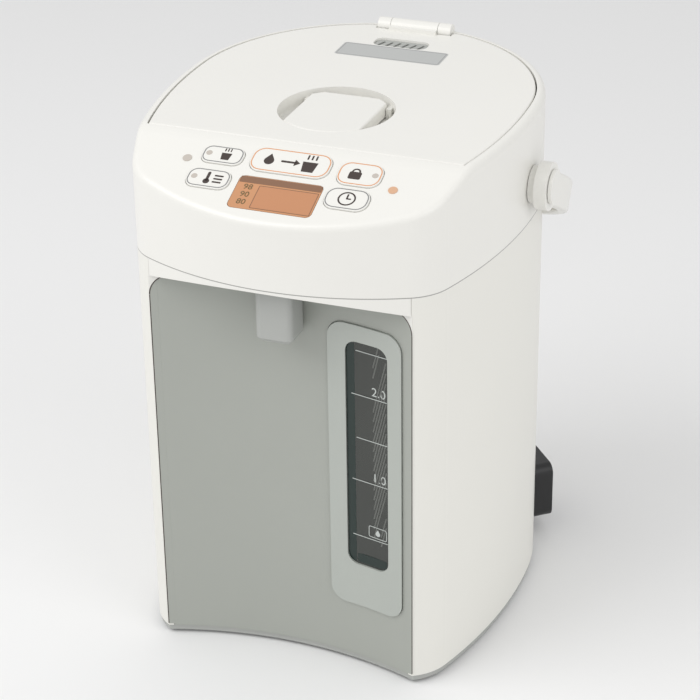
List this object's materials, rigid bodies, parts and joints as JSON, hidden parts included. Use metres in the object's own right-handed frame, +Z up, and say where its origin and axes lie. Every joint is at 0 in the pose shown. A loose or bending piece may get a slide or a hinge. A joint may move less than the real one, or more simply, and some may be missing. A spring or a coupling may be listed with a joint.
{
  "type": "electric thermo pot",
  "caption": "Countertop electric hot water pot with a hinged lid, keys and a display on a sloped head, a level gauge in a concave front and a bail handle.",
  "frame": {"origin": "middle of the resting surface, under the middle of the overall box", "axes": "+Z up, the spout and the level gauge face -Y, +X is to the right seen from the front"},
  "size_m": [0.2428, 0.2754, 0.322],
  "materials": {
    "base_grey": "moulded",
    "bezel_grey": "smooth moulding",
    "board_green": "printed board",
    "case_white": "satin paint",
    "clear_tube": "clear",
    "clear_window": "clear",
    "dark_grey": "moulded",
    "display_amber": "tinted",
    "display_back": "lit panel",
    "foot_rubber": "moulded",
    "gasket": "silicone",
    "handle_white": "smooth moulding",
    "heater_metal": "cast",
    "inlet_black": "moulded",
    "inner_grey": "moulded",
    "key_white": "smooth moulding",
    "lamp_grey": "clear cap",
    "lid_inner": "moulded",
    "panel_grey": "satin moulding",
    "rotor_iron": "bare",
    "shell_white": "smooth moulding",
    "silicone": "translucent white",
    "steel": "polished",
    "trim_grey": "moulded"
  },
  "bodies": {
    "housing": {"bottom_plate": "base_grey", "bottom_screws": "steel", "control_board": "board_green", "delivery_hose": "silicone", "display_module": "display_back", "display_window": "display_amber", "front_panel": "panel_grey", "gauge_back_plate": "dark_grey", "gauge_bezel": "bezel_grey", "gauge_tube": "clear_tube", "gauge_window": "clear_window", "handle_pivots": "handle_white", "head_shell": "shell_white", "head_underside": "trim_grey", "heating_element": "heater_metal", "hinge_pin": "steel", "indicator_lamps": "lamp_grey", "inlet_pins": "steel", "motor_can": "steel", "outer_case": "case_white", "outlet_elbow": "silicone", "power_board": "board_green", "power_inlet": "inlet_black", "pump_cover": "inner_grey", "pump_housing": "inner_grey", "rubber_feet": "foot_rubber", "spout_nozzle": "trim_grey", "temperature_sensor": "heater_metal", "vacuum_jacket": "steel", "valve_chamber": "clear_tube", "vessel_inner": "steel"},
    "lid": {"lid_top": "shell_white", "lid_base": "lid_inner", "inner_lid_plate": "steel", "lid_gasket": "gasket", "steam_vent_cap": "trim_grey", "lever_pin": "steel", "steam_ball_cage": "inner_grey"},
    "lever": {"lid_lever": "shell_white"},
    "hook": {"lid_hook": "lid_inner"},
    "handle": {"carry_handle": "handle_white"},
    "rotor": {"motor_rotor": "rotor_iron"},
    "pump_wheel": {"impeller": "inner_grey"},
    "tip_valve": {"valve_ball": "steel"},
    "steam_valve": {"steam_ball": "steel"},
    "key_boil": {"key_boil": "key_white"},
    "key_keep": {"key_keep": "key_white"},
    "key_lock": {"key_lock": "key_white"},
    "key_pour": {"key_pour": "key_white"},
    "key_timer": {"key_timer": "key_white"}
  },
  "joints": [
    {"name": "lid_hinge", "type": "hinge", "parent": "housing", "child": "lid", "pos_m": [0, 0.10748, 0.317], "axis": [-1, 0, 0], "range_deg": [0, 85]},
    {"name": "lever_pivot", "type": "hinge", "parent": "lid", "child": "lever", "pos_m": [0, -0.00752, 0.308], "axis": [-1, 0, 0], "range_deg": [0, 20], "stiffness_Nm_per_rad": 0.12, "springref_deg": -8.59},
    {"name": "hook_slide", "type": "slide", "parent": "lid", "child": "hook", "axis": [0, 1, 0], "range_m": [0, 0.005]},
    {"name": "handle_swing", "type": "hinge", "parent": "housing", "child": "handle", "pos_m": [0, 0.00048, 0.272], "axis": [1, 0, 0], "range_deg": [0, 118]},
    {"name": "rotor_spin", "type": "hinge", "parent": "housing", "child": "rotor", "pos_m": [0.039, -0.03152, 0.025], "axis": [0, 0, 1], "continuous": true},
    {"name": "pump_wheel_spin", "type": "hinge", "parent": "housing", "child": "pump_wheel", "pos_m": [0.039, -0.03152, 0.047], "axis": [0, 0, 1], "continuous": true},
    {"name": "tip_valve_lift", "type": "slide", "parent": "housing", "child": "tip_valve", "axis": [0, 0, 1], "range_m": [0, 0.009]},
    {"name": "steam_valve_lift", "type": "slide", "parent": "lid", "child": "steam_valve", "axis": [0, 0, 1], "range_m": [0, 0.005]},
    {"name": "key_boil_press", "type": "slide", "parent": "housing", "child": "key_boil", "axis": [0, 0.3794, -0.9253], "range_m": [0, 0.001], "stiffness_N_per_m": 900, "springref_m": -0.0006},
    {"name": "key_keep_press", "type": "slide", "parent": "housing", "child": "key_keep", "axis": [0, 0.3794, -0.9253], "range_m": [0, 0.001], "stiffness_N_per_m": 900, "springref_m": -0.0006},
    {"name": "key_lock_press", "type": "slide", "parent": "housing", "child": "key_lock", "axis": [0, 0.3794, -0.9253], "range_m": [0, 0.001], "stiffness_N_per_m": 900, "springref_m": -0.0006},
    {"name": "key_pour_press", "type": "slide", "parent": "housing", "child": "key_pour", "axis": [0, 0.3794, -0.9253], "range_m": [0, 0.001], "stiffness_N_per_m": 900, "springref_m": -0.0006},
    {"name": "key_timer_press", "type": "slide", "parent": "housing", "child": "key_timer", "axis": [0, 0.3794, -0.9253], "range_m": [0, 0.001], "stiffness_N_per_m": 900, "springref_m": -0.0006}
  ],
  "couplings": [
    {"joint": "hook_slide", "follows": "lever_pivot", "m_per_rad": 0.014324},
    {"joint": "pump_wheel_spin", "follows": "rotor_spin", "ratio": 1}
  ]
}
